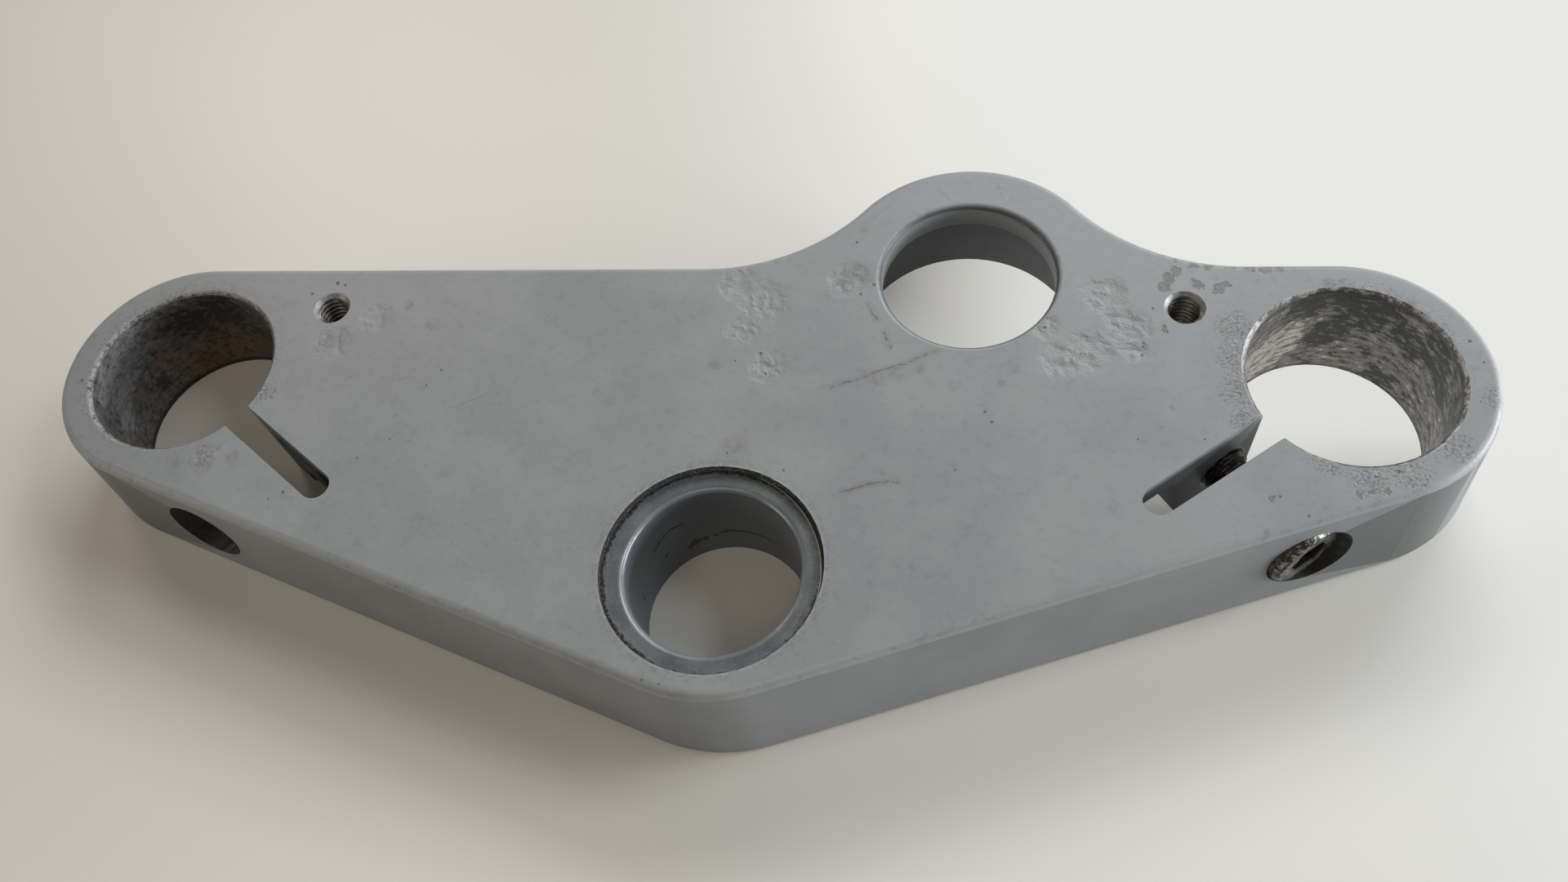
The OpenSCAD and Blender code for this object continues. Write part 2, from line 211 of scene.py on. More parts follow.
# On the bore walls: dirt lines in the stem bore as (distance round it, height), dents, which are painted
# near black as painted shade, and the light, dark and brown areas of the fork bores, whose light and dark
# areas are partly painted light and shade: lighter on walls that face the lamps on the right, darker on
# the far walls
STEM_MARKS = [[(36.0, 11.6), (34.2, 13.0), (32.0, 13.5), (29.9, 12.9)], [(34.7, 6.8), (34.2, 7.4)],
              [(25.2, 5.6), (22.8, 6.8), (20.3, 6.7), (16.7, 6.9), (14.2, 6.5)], [(42.7, 7.4), (42.6, 5.6)]]
STEM_DENTS = [(-6.5, 12.3, 5.1, 1.5), (-4.9, 13.0, 5.2, 1.1), (-7.4, 11.8, 4.2, 0.8)]
LEFT_BORE_PALE_AND_LIT = [(-115.4, 42.3, 16.8, 6.0), (-116.4, 34.9, 17.3, 5.0), (-116.4, 38.2, 14.9, 6.0),
                    (-116.0, 33.0, 10.0, 4.0)]
LEFT_BORE_DARK_AND_SHADED = [(-108.6, 50.4, 4.1, 3.2), (-99.9, 52.8, 16.7, 6.0), (-95.0, 52.0, 10.0, 3.5),
                   (-104.0, 52.3, 9.5, 2.6), (-90.0, 49.4, 8.0, 3.0), (-114.5, 44.0, 6.0, 3.0),
                   (-107.0, 51.2, 15.0, 5.0)]
LEFT_BORE_BROWNS = [(-101.3, 52.7, 6.2, 10.0), (-109.0, 50.0, 4.0, 8.0), (-90.0, 49.4, 8.0, 9.0),
                    (-113.4, 46.0, 9.7, 4.0)]
RIGHT_BORE_PALE_AND_LIT = [(92.6, 51.0, 8.5, 6.5), (90.5, 49.8, 5.0, 5.5), (87.0, 46.5, 8.0, 5.0),
                     (96.5, 52.4, 13.0, 2.5)]
RIGHT_BORE_DARK_AND_SHADED = [(100.4, 52.8, 10.3, 5.0), (104.7, 52.1, 18.3, 8.5), (96.0, 52.3, 19.0, 5.0),
                    (115.2, 42.7, 16.7, 6.0), (112.0, 47.5, 15.0, 4.5), (111.0, 48.5, 2.5, 3.5),
                    (116.4, 38.0, 12.5, 4.0), (115.9, 32.0, 15.0, 5.5)]


def band(tree, value, low, high, soft):
    """1 between low and high, fading to 0 over soft on each side."""
    rise = add(tree, (value, low - soft, low), **STEP)
    return add(tree, (rise, add(tree, (value, high, high + soft, 1.0, 0.0), **STEP)), **TIMES)


def painted_casting(name, worn):
    """Silver-grey satin paint on sand-cast aluminium: an even, faintly cloudy grey whose fine orange peel
    softens the highlights, a little darker at the left end. Worn adds what years outdoors did to the
    top: dirt stains, blisters, cracks, chips down to dark oxide, and a pitted bright rim where fork legs
    were pulled through. It also paints light and shade there: lighter and darker patches on the blisters
    for their bright and shaded sides, a highlight along the rounded top edge and round the stem seat, and
    shade on the lock hole's wall. Without it the paint is that of the hidden inner walls: sandy and
    dusty, with painted shade toward the rear, where the slots show them, and the darkest painted shade
    on the lock lobe's far wall."""
    material, tree, shader = new_material(name, metallic=0.0, ior=1.5)
    place = place_in_mm(tree)
    cloud = add(tree, {"Vector": place, "Scale": 1 / 15, "Detail": 4, "Roughness": 0.55}, "TexNoise")
    colour = add(tree, {0: add(tree, (cloud, 0.36, 0.64), **STEP), 6: linear("#83878a"),
                        7: linear("#8e9294")}, **BLEND)
    grain = add(tree, {"Vector": place, "Scale": 1 / 0.32, "Detail": 2, "Roughness": 0.6}, "TexNoise")
    colour = laid_over(tree, colour, add(tree, (grain, 0.35, 0.7), **STEP), 0.2, "#9da1a3")
    # Darker toward the left end
    darker_toward_left_end = add(tree, (add(tree, (place,), "SeparateXYZ"), -120.0, -82.0, 1.0, 0.0), **STEP)
    colour = laid_over(tree, colour, darker_toward_left_end, 0.5, "#6e7071")
    rough = add(tree, (add(tree, (cloud, 0.3, 0.7), **STEP), 0.08, 0.40), **TIMES_PLUS)
    height = add(tree, (add(tree, {"Vector": place, "Scale": 1 / 1.3, "Detail": 1, "Roughness": 0.5},
                            "TexNoise"), 0.25), **TIMES)
    if worn:
        jag = add(tree, {"Vector": place, "Scale": 1 / 1.6, "Detail": 3, "Roughness": 0.6}, "TexNoise",
                  out=None)
        shift = add(tree, (jag[1], (0.5, 0.5, 0.5)), "VectorMath", operation="SUBTRACT")
        shift = add(tree, (shift, (2.6, 2.6, 0.0)), "VectorMath", operation="MULTIPLY")
        loose = add(tree, (place, shift), "VectorMath", operation="ADD")
        fine = add(tree, {"Vector": place, "Scale": 1 / 0.62, "Detail": 3, "Roughness": 0.6}, "TexNoise")
        height_z = add(tree, (place,), "SeparateXYZ", out=2)
        on_top = add(tree, (height_z, 20.6, 21.3), **STEP)

        stain = add(tree, (spots(tree, loose, STAINS), 0.0, 0.7), **STEP)
        stain = add(tree, (stain, add(tree, (jag[0], 0.34, 0.62), **STEP)), **TIMES)
        colour = laid_over(tree, colour, stain, 0.65, "#6d6963")
        speck = add(tree, (add(tree, (fine, 0.70, 0.74), **STEP), 0.35), **TIMES)
        colour = add(tree, {0: speck, 6: colour, 7: linear("#55534f")}, **BLEND)

        blister = add(tree, (spots(tree, loose, BLISTERS), 0.0, 0.7), **STEP)
        lump = add(tree, {"Vector": loose, "Scale": 1 / 1.7, "Smoothness": 0.7}, "TexVoronoi",
                   feature="SMOOTH_F1", out="Distance")
        # Painted highlight and painted shade on the blisters: lighter and darker patches for their bright and
        # shaded sides
        blister_highlight = add(tree, (blister, add(tree, (fine, 0.60, 0.68), **STEP)), **TIMES)
        colour = laid_over(tree, colour, blister_highlight, 0.5, "#a9adae")
        blister_shade = add(tree, (blister, add(tree, (fine, 0.32, 0.38, 1.0, 0.0), **STEP)), **TIMES)
        colour = laid_over(tree, colour, blister_shade, 0.6, "#66645f")
        height = add(tree, (add(tree, (blister, lump), **TIMES), -4.5, height), **TIMES_PLUS)

        left = from_axis(tree, place, FORKS[-1])
        right = from_axis(tree, place, FORKS[1])
        bore = add(tree, (add(tree, (left, right), "Math", operation="MINIMUM"), FORK_R), **LESS)
        rim = add(tree, (add(tree, (bore, 0.2, 4.5, 1.0, 0.0), **STEP),
                         add(tree, (cloud, 0.35, 0.6), **STEP)), **TIMES)
        corroded = add(tree, (spots(tree, loose, CORRODED), 0.0, 0.7), **STEP)
        corroded = add(tree, (corroded, add(tree, (rim, 0.6), **TIMES)), **LARGER)
        tint = add(tree, (corroded, add(tree, (jag[0], 0.35, 0.65), **STEP)), **TIMES)
        colour = laid_over(tree, colour, tint, 0.3, "#6f7377")
        rot = add(tree, {"Vector": place, "Scale": 1 / 0.46, "Detail": 3, "Roughness": 0.65}, "TexNoise")
        dots = add(tree, (add(tree, (corroded, 0.08, rot), **TIMES_PLUS), 0.60, 0.65), **STEP)
        dots = add(tree, (dots, add(tree, (corroded, 0.05, 0.5), **STEP)), **TIMES)
        colour = laid_over(tree, colour, dots, 0.8, "#515153")
        pale = add(tree, (add(tree, (corroded, -0.05, fine), **TIMES_PLUS), 0.31, 0.37, 1.0, 0.0), **STEP)
        pale = add(tree, (pale, add(tree, (corroded, 0.1, 0.6), **STEP)), **TIMES)
        colour = laid_over(tree, colour, pale, 0.55, "#b0b2b3")
        pitted = add(tree, (add(tree, (fine, 0.5), **LESS), corroded), **TIMES)
        height = add(tree, (pitted, -3.0, height), **TIMES_PLUS)

        bare = add(tree, (spots(tree, loose, BARE), 0.05, 0.35), **STEP)
        bare = add(tree, (bare, add(tree, (fine, 0.28, 0.45), **STEP)), **TIMES)
        oxide = add(tree, {0: add(tree, (grain, 0.42, 0.54), **STEP), 6: linear("#31302e"),
                           7: linear("#656462")}, **BLEND)
        colour = add(tree, {0: add(tree, (bare, 0.75), **TIMES), 6: colour, 7: oxide}, **BLEND)
        rust = add(tree, (spots(tree, loose, RUST), 0.05, 0.6), **STEP)
        colour = laid_over(tree, colour, rust, 0.3, "#6a4f43")
        height = add(tree, (bare, -0.9, height), **TIMES_PLUS)

        drawn = add(tree, {0: shift, "Scale": 0.42}, "VectorMath", operation="SCALE")
        drawn = add(tree, (place, drawn), "VectorMath", operation="ADD")
        drawn = add(tree, (drawn, (1.0, 1.0, 0.0)), "VectorMath", operation="MULTIPLY")
        crack = strokes(tree, drawn, CRACKS, 2.2)
        scratch = strokes(tree, drawn, SCRATCHES, 0.55)
        broken = add(tree, (fine, 0.36, 0.5), **STEP)
        halo = add(tree, (add(tree, (crack, 0.0, 0.8), **STEP), 0.22), **TIMES)
        line = add(tree, (add(tree, (crack, 0.76, 0.9), **STEP), 0.9), **TIMES)
        line = add(tree, (line, add(tree, (add(tree, (scratch, 0.3, 0.9), **STEP), 0.4), **TIMES)),
                   **LARGER)
        line = add(tree, (add(tree, (line, broken), **TIMES), halo), **LARGER)
        colour = add(tree, {0: add(tree, (line, on_top), **TIMES), 6: colour, 7: linear("#4f4a44")},
                     **BLEND)

        pits = add(tree, (spots(tree, place, PITS + SIDE_PITS), 0.15, 0.45), **STEP)
        colour = laid_over(tree, colour, pits, 0.85, "#262524")
        height = add(tree, (pits, -1.5, height), **TIMES_PLUS)

        edge = add(tree, (add(tree, (fine, 0.5), **LESS), 1.5, bore), **TIMES_PLUS)
        chipped = add(tree, (add(tree, (edge, 0.45, 0.72, 1.0, 0.0), **STEP), on_top), **TIMES)
        chipped = add(tree, (chipped, add(tree, (jag[0], 0.42, 0.56), **STEP)), **TIMES)
        colour = laid_over(tree, colour, chipped, 0.7, "#b0b2b2")
        # Painted highlight: a lighter band along the rounded top edge
        edge_highlight = band(tree, height_z, 20.75, 21.8, 0.35)
        edge_highlight = add(tree, (edge_highlight, add(tree, (jag[0], 0.2, 0.5), **STEP)), **TIMES)
        colour = laid_over(tree, colour, edge_highlight, 0.5, "#b3b7b9")
        # Painted shade: the lock hole's wall is painted darker
        lock = add(tree, (from_axis(tree, place, LOCK), LOCK_R + 0.2, LOCK_R + 0.9, 1.0, 0.0), **STEP)
        colour = laid_over(tree, colour, lock, 0.85, "#484e52")
        seat = add(tree, (from_axis(tree, place, (0.0, 0.0)), SEAT_R), **LESS)
        grime_and_shade = add(tree, (add(tree, (seat, 0.1, 2.2, 1.0, 0.0), **STEP),
                           add(tree, (fine, 0.45, 0.62), **STEP)), **TIMES)
        colour = laid_over(tree, colour, grime_and_shade, 0.28, "#4e4f4f")
        # Painted highlight: a thin lighter ring on the top face round the stem seat's edge
        lip_highlight = add(tree, (add(tree, (seat, 0.22, 0.42, 1.0, 0.0), **STEP),
                         add(tree, (jag[0], 0.4, 0.6, 1.0, 0.0), **STEP)), **TIMES)
        colour = laid_over(tree, colour, lip_highlight, 0.5, "#a9adb1")
        rough = add(tree, (add(tree, (stain, corroded), **LARGER), 0.12, rough), **TIMES_PLUS)
    else:
        # Painted shade: the lock lobe's far wall below the web is painted darkest
        lock = add(tree, (from_axis(tree, place, LOCK), LOCK_R + 7.8, LOCK_R + 8.6, 1.0, 0.0), **STEP)
        far, high = add(tree, (place,), "SeparateXYZ", out=slice(1, 3))
        lock = add(tree, (lock, add(tree, (far, 62.0, 67.0), **STEP)), **TIMES)
        lock = add(tree, (lock, add(tree, (high, 16.8, 17.3, 1.0, 0.0), **STEP)), **TIMES)
        colour = add(tree, {0: lock, 6: colour, 7: linear("#383f44")}, **BLEND)
        # Painted shade: the inner walls toward the rear, which the slots show, are painted darker
        slots = add(tree, (add(tree, (place,), "SeparateXYZ", out=1), 34.0, 40.0, 1.0, 0.0), **STEP)
        colour = laid_over(tree, colour, slots, 0.6, "#4a4c4c")
        dust = add(tree, (add(tree, {"Vector": place, "Scale": 1 / 0.9, "Detail": 2, "Roughness": 0.6},
                              "TexNoise"), 0.58, 0.72), **STEP)
        colour = laid_over(tree, colour, dust, 0.3, "#6f6e6a")
        sand = add(tree, {"Vector": place, "Scale": 1 / 0.8, "Detail": 3, "Roughness": 0.6}, "TexNoise")
        height = add(tree, (sand, 0.9, height), **TIMES_PLUS)
    bump = add(tree, {"Strength": 0.55, "Distance": 0.12 * MM, "Height": height}, "Bump")
    feed(tree, shader, base_color=colour, roughness=rough, normal=bump)
    return material


def stem_seat_paint():
    """The same paint in the stem bore and its turned seat, rubbed darker by the stem and its nut, with a
    painted highlight round the bore's rounded edge, greasy black and brown dirt packed in broken lines
    into the seat's outer corner, an offset ring on the seat's right that holds a painted shadow of its
    wall, a painted highlight and a dirty smear, thin dirt lines on the bore's wall, and dents painted
    near black as painted shade."""
    material, tree, shader = new_material("rubbed_paint_in_turned_stem_seat", metallic=0.2, ior=1.5)
    place = place_in_mm(tree)
    out = from_axis(tree, place, (0.0, 0.0))
    x, y, z = add(tree, (place,), "SeparateXYZ", out=slice(3))
    patch = add(tree, {"Vector": place, "Scale": 1 / 1.0, "Detail": 4, "Roughness": 0.7}, "TexNoise")
    wide = add(tree, {"Vector": place, "Scale": 1 / 6, "Detail": 3, "Roughness": 0.55}, "TexNoise")
    fine = add(tree, {"Vector": place, "Scale": 1 / 0.4, "Detail": 2, "Roughness": 0.6}, "TexNoise")
    colour = add(tree, {0: add(tree, (wide, 0.35, 0.65), **STEP), 6: linear("#62676b"),
                        7: linear("#757a7e")}, **BLEND)
    colour = laid_over(tree, colour, add(tree, (fine, 0.58, 0.7), **STEP), 0.35, "#989ca0")
    wall = add(tree, (out, STEM_R + 0.05, STEM_R + 0.25, 1.0, 0.0), **STEP)
    colour = add(tree, {0: wall, 6: colour, 7: add(tree, {0: wide, 6: linear("#60676e"),
                                                          7: linear("#72797f")}, **BLEND)}, **BLEND)
    # Painted highlight: a lighter ring on the bore's rounded edge, also made smoother
    lip_highlight = band(tree, out, STEM_R + 0.25, STEM_R + 0.6, 0.2)
    colour = laid_over(tree, colour, lip_highlight, 0.45, "#a3a8ac")

    turn = add(tree, (y, x), "Math", operation="ARCTAN2")
    unrolled = add(tree, (add(tree, (turn, STEM_R), **TIMES), z), "CombineXYZ")
    waver = add(tree, {0: (0.5, 0.5, 0.0), "Scale": patch}, "VectorMath", operation="SCALE")
    unrolled = add(tree, (unrolled, waver), "VectorMath", operation="ADD")
    marks = add(tree, (strokes(tree, unrolled, STEM_MARKS, 0.8), 0.1, 0.5), **STEP)
    marks = add(tree, (marks, add(tree, (patch, 0.34, 0.5), **STEP)), **TIMES)
    colour = laid_over(tree, colour, add(tree, (marks, wall), **TIMES), 0.95, "#1c1a19")
    # Painted shade: the dents are painted near black
    dent = add(tree, (spots(tree, place, STEM_DENTS), 0.1, 0.5), **STEP)
    colour = laid_over(tree, colour, dent, 0.8, "#221f1d")

    corner = add(tree, (patch, 1.9, out), **TIMES_PLUS)
    corner = add(tree, (wide, 1.4, corner), **TIMES_PLUS)
    brown = add(tree, (corner, 18.3, 18.8), **STEP)
    colour = laid_over(tree, colour, brown, 0.55, "#4d4740")
    black = add(tree, (add(tree, (corner, 18.7, 18.9), **STEP), add(tree, (fine, 0.36, 0.46), **STEP)),
                **TIMES)
    colour = laid_over(tree, colour, black, 0.9, "#191817")
    offset_ring = from_axis(tree, place, (-1.62, -0.59))
    inside = add(tree, (out, 17.5, 17.62, 1.0, 0.0), **STEP)
    # Painted shadow of the seat's wall: a dark line on the seat's right
    painted_wall_shadow = add(tree, (add(tree, (offset_ring, 18.78, 18.9), **STEP), inside), **TIMES)
    colour = laid_over(tree, colour, painted_wall_shadow, 0.85, "#2b2d2e")
    # Painted highlight: a bright line beside that painted shadow
    line = add(tree, (band(tree, offset_ring, 18.66, 18.78, 0.06), inside), **TIMES)
    colour = laid_over(tree, colour, line, 0.8, "#b4b8ba")
    smear = add(tree, (band(tree, offset_ring, 17.6, 18.4, 0.3), add(tree, (patch, 0.35, 0.6), **STEP)), **TIMES)
    smear = add(tree, (smear, inside), **TIMES)
    colour = laid_over(tree, colour, smear, 0.45, "#4a4844")

    rough = add(tree, (lip_highlight, -0.12, add(tree, (brown, 0.3, 0.4), **TIMES_PLUS)), **TIMES_PLUS)
    height = add(tree, (brown, 0.7, add(tree, (fine, 0.2), **TIMES)), **TIMES_PLUS)
    height = add(tree, (dent, -2.5, height), **TIMES_PLUS)
    bump = add(tree, {"Strength": 0.5, "Distance": 0.12 * MM, "Height": height}, "Bump")
    feed(tree, shader, base_color=colour, roughness=rough, normal=bump)
    return material


def bore_base(tree, place, lights, darks, colours, drawn):
    """The flecked wall of a fork bore: four greys parted by one noise, drawn out round the bore as many
    times as drawn says, so that the flecks have torn, sharp outlines. Round the light and the dark spots
    the noise is raised or lowered, and there the light or the dark flecks run together. Gives the colour,
    the fleck noise and a fine noise."""
    torn = drawn_noise(tree, place, 2.6, 3, 0.6, (1.8, 1.8, 0.8), out=1)
    fleck = drawn_noise(tree, place, 1.15, 4, 0.72, (drawn, drawn, 0.85))
    fine = drawn_noise(tree, place, 0.5, 3, 0.65, (1.7, 1.7, 0.8))
    shift = add(tree, (torn, (0.5, 0.5, 0.5)), "VectorMath", operation="SUBTRACT")
    shift = add(tree, (shift, (9.0, 9.0, 7.0)), "VectorMath", operation="MULTIPLY")
    loose = add(tree, (place, shift), "VectorMath", operation="ADD")
    # Partly painted light and shade: the light spots lie on walls that face the lamps on the right, the dark
    # ones on the far walls
    light = add(tree, (spots(tree, loose, lights), 0.0, 0.5), **STEP)
    dark = add(tree, (spots(tree, loose, darks), 0.0, 0.5), **STEP)
    level = add(tree, (light, 0.17, fleck), **TIMES_PLUS)
    level = add(tree, (dark, -0.14, level), **TIMES_PLUS)
    colour = add(tree, {0: add(tree, (level, 0.42, 0.56), **STEP), 6: linear(colours[1]),
                        7: linear(colours[2])}, **BLEND)
    colour = add(tree, {0: add(tree, (level, 0.60, 0.66), **STEP), 6: colour, 7: linear(colours[3])},
                 **BLEND)
    colour = add(tree, {0: add(tree, (level, 0.40, 0.43, 1.0, 0.0), **STEP), 6: colour,
                        7: linear(colours[0])}, **BLEND)
    grains = add(tree, (add(tree, (fine, 0.56, 0.62), **STEP), 0.35), **TIMES)
    colour = add(tree, {0: grains, 6: colour, 7: linear(colours[0])}, **BLEND)
    return colour, fleck, fine


def oxidised_bore():
    """Bare aluminium of the left fork bore, long damp: dull dark grey mottled with pale oxide and brown
    stains, with a chipped bright ring at its upper mouth. Its pale and dark patches are partly painted
    light and shade, and painted shade darkens its foot."""
    material, tree, shader = new_material("damp_oxidised_aluminium_left_bore", metallic=0.3)
    place = place_in_mm(tree)
    colour, fleck, fine = bore_base(tree, place, LEFT_BORE_PALE_AND_LIT, LEFT_BORE_DARK_AND_SHADED,
                                    ("#3a3938", "#575655", "#6c6b6a", "#85888a"), 1.2)
    brown = add(tree, (spots(tree, place, LEFT_BORE_BROWNS), 0.0, 0.7), **STEP)
    brown = add(tree, (brown, add(tree, (fleck, 0.36, 0.56), **STEP)), **TIMES)
    colour = laid_over(tree, colour, brown, 0.7, "#866a54")
    height_z = add(tree, (place,), "SeparateXYZ", out=2)
    mouth = add(tree, (add(tree, (fine, 0.5), **LESS), 2.4, height_z), **TIMES_PLUS)
    bright = add(tree, (add(tree, (mouth, 21.4, 21.75), **STEP), add(tree, (fleck, 0.3, 0.46), **STEP)),
                 **TIMES)
    colour = laid_over(tree, colour, bright, 0.85, "#9fa1a1")
    # Painted shade: darker at the foot of the bore, where it meets the table
    foot = add(tree, (mouth, 0.7, 1.5, 1.0, 0.0), **STEP)
    colour = laid_over(tree, colour, foot, 0.8, "#1f1d1b")
    rough = add(tree, (fine, 0.3, 0.42), **TIMES_PLUS)
    bump = add(tree, {"Strength": 0.6, "Distance": 0.12 * MM, "Height": fine}, "Bump")
    feed(tree, shader, base_color=colour, roughness=rough, normal=bump)
    return material


def rubbed_bore():
    """Bare machined aluminium of the right fork bore: silvery where the fork leg rubbed it clean, streaked
    and speckled with grey oxide drawn out round the bore, and darkest below the mouth. Its silvery and
    dark patches are partly painted light and shade, and painted shade darkens its foot."""
    material, tree, shader = new_material("streaked_machined_aluminium_right_bore")
    place = place_in_mm(tree)
    colour, fleck, fine = bore_base(tree, place, RIGHT_BORE_PALE_AND_LIT, RIGHT_BORE_DARK_AND_SHADED,
                                    ("#454646", "#706f6c", "#93918d", "#dedad2"), 1.8)
    streak = drawn_noise(tree, place, 0.5, 2, 0.6, (9.0, 9.0, 0.8))
    colour = laid_over(tree, colour, add(tree, (streak, 0.5, 0.66), **STEP), 0.45, "#5a5957")
    height_z = add(tree, (place,), "SeparateXYZ", out=2)
    mouth = add(tree, (add(tree, (fine, 0.5), **LESS), 2.2, height_z), **TIMES_PLUS)
    # A dark band just under the mouth, and painted shade at the foot of the bore, where it meets the table
    edge = add(tree, (band(tree, mouth, 20.6, 21.3, 0.5), add(tree, (mouth, 0.4, 1.0, 1.0, 0.0), **STEP)),
               **LARGER)
    colour = laid_over(tree, colour, edge, 0.6, "#3c3c3c")
    bright = add(tree, (add(tree, (mouth, 21.4, 21.7), **STEP), add(tree, (fleck, 0.46, 0.54), **STEP)),
                 **TIMES)
    colour = laid_over(tree, colour, bright, 0.7, "#aaacad")
    rough = add(tree, (fleck, -0.3, 0.55), **TIMES_PLUS)
    bump = add(tree, {"Strength": 0.4, "Distance": 0.06 * MM,
                      "Height": add(tree, (streak, fine), "Math", operation="ADD")}, "Bump")
    clean = add(tree, (add(tree, (height_z, 20.6, 21.3, 1.0, 0.0), **STEP), 0.6), **TIMES)
    feed(tree, shader, base_color=colour, roughness=rough, metallic=clean, normal=bump)
    return material


def metal(name, dark, light, metallic, roughness, grain, colour_low=0.4, colour_high=0.65):
    """Metal, or the dirt and painted shade on it, in patches of two colours about grain mm across, with a
    finer roughness."""
    material, tree, shader = new_material(name, metallic=metallic)
    place = place_in_mm(tree)
    patch = add(tree, {"Vector": place, "Scale": 1 / grain, "Detail": 4, "Roughness": 0.65}, "TexNoise")
    fine = add(tree, {"Vector": place, "Scale": 1 / 0.25, "Detail": 2, "Roughness": 0.6}, "TexNoise")
    colour = add(tree, {0: add(tree, (patch, colour_low, colour_high), **STEP), 6: linear(dark),
                        7: linear(light)}, **BLEND)
    rough = add(tree, (patch, 0.25, roughness), **TIMES_PLUS)
    bump = add(tree, {"Strength": 0.35, "Distance": 0.05 * MM, "Height": fine}, "Bump")
    feed(tree, shader, base_color=colour, roughness=rough, normal=bump)
    return material


def clamp_axes(side):
    """Unit vectors of a clamp: along its slot away from the fork leg, upright (up on the left, down on the
    right), and toward the bolt's head."""
    c, s = math.cos(SLOT_TURN), math.sin(SLOT_TURN)
    along = np.array((-side * c, -s, 0.0))
    head = np.array((side * s, -c, 0.0))
    return along, np.cross(head, along), head


def bolt_middle(side):
    """Where the pinch bolt's axis crosses the middle of the slot."""
    along = clamp_axes(side)[0]
    return np.array((*FORKS[side], BOLT_Z)) + BOLT_REACH * along


def shell(name, grid, close_rows=False, materials=(), row_material=None):
    """A closed piece from a grid of points in mm, rows by columns, whose columns run round. Rows of one
    repeated point close it as a pole, or close_rows joins the last row to the first."""
    rows, columns = grid.shape[:2]
    last = rows if close_rows else rows - 1
    i, j = np.meshgrid(np.arange(last), np.arange(columns), indexing="ij")
    down, side = (i + 1) % rows, (j + 1) % columns
    faces = np.stack([i * columns + j, i * columns + side, down * columns + side, down * columns + j], -1)
    mesh = bpy.data.meshes.new(name)
    mesh.from_pydata((grid.reshape(-1, 3) * MM).tolist(), [], faces.reshape(-1, 4).tolist())
    for material in materials:
        mesh.materials.append(material)
    if row_material is not None:
        mesh.polygons.foreach_set("material_index", np.repeat(row_material[:last], columns))
    work = bmesh.new()
    work.from_mesh(mesh)
    bmesh.ops.remove_doubles(work, verts=work.verts, dist=0.001 * MM)
    bmesh.ops.recalc_face_normals(work, faces=work.faces)
    work.to_mesh(mesh)
    work.free()
    mesh.shade_smooth()
    mesh.set_sharp_from_angle(angle=math.radians(32))
    piece = bpy.data.objects.new(name, mesh)
    bpy.context.scene.collection.objects.link(piece)
    return piece


def ridge(turn, along, pitch):
    """Height of a screw thread, 0 at its root and 1 at its crest: straight flanks between a flat of an
    eighth of the pitch at the crest and a quarter at the root, climbing one pitch a turn."""
    half_crest, half_foot = 1 / 16, 3 / 8
    phase = np.mod(along / pitch - turn / (2 * np.pi), 1.0)
    return np.clip((half_foot - np.abs(phase - 0.5)) / (half_foot - half_crest), 0.0, 1.0)


def threaded_hole(name, middle, axes, start, end, core, pitch, mouth, outer, materials):
    """A sleeve that lines a bored hole with a cut thread. Its inner wall is the core radius plus the
    thread's depth times the ridge, widened to a cone at the mouth; its outer wall lies in the metal. The
    second material is that of the cone."""
    rows_a_turn, depth = 10, 0.5413 * pitch
    turn = np.linspace(0, 2 * np.pi, HOLE_SIDES, endpoint=False)
    along = np.linspace(start, end, int(abs(end - start) / pitch * rows_a_turn) + 1)
    inner = core + depth * ridge(turn[None, :], along[:, None], pitch)
    inner = np.maximum(inner, mouth - np.abs(end - along)[:, None])
    radius = np.vstack([inner, np.full((2, HOLE_SIDES), outer)])
    height = np.concatenate([along, [end, start]])
    u, v, w = axes
    grid = (middle + radius[..., None] * (np.cos(turn)[None, :, None] * u + np.sin(turn)[None, :, None] * v)
            + height[:, None, None] * w)
    cone = mouth - np.abs(end - height) > core + depth * 0.4
    piece = shell(name, grid, close_rows=True, materials=materials, row_material=cone.astype(int))
    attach(piece, "root")
    return piece


